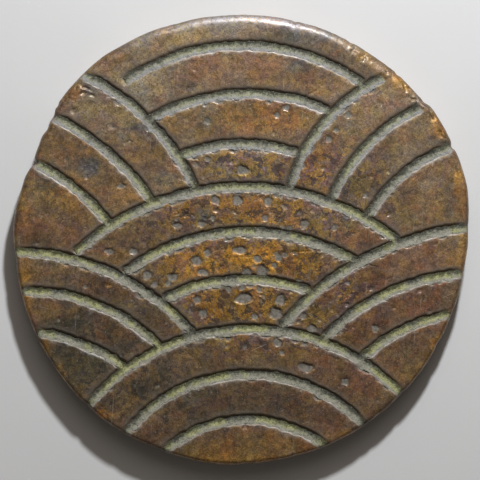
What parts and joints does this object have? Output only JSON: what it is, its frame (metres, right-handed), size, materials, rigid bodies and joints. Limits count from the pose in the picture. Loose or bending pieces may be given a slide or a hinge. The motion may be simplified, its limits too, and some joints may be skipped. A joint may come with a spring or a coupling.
{
  "type": "transit token",
  "caption": "Hand-made copper alloy fare token: a flat disc with a worn rim and overlapping fans of grooved arcs on one face, with old deposit in the grooves.",
  "frame": {"origin": "middle of the underside, at the centre of the bounding box", "axes": "+Z out of the grooved face, through the thickness; +Y towards the top fan of the pattern; +X to the right of the pattern seen from above"},
  "size_m": [0.0302, 0.0298, 0.0022],
  "materials": {
    "copper_alloy": "worn brown copper patina, satin, brighter on the rim and the groove edges",
    "mineral_deposit": "matt grey-green hardened dirt and verdigris"
  },
  "bodies": {
    "root": {"token_disc": "copper_alloy", "groove_deposit": "mineral_deposit"}
  },
  "joints": []
}
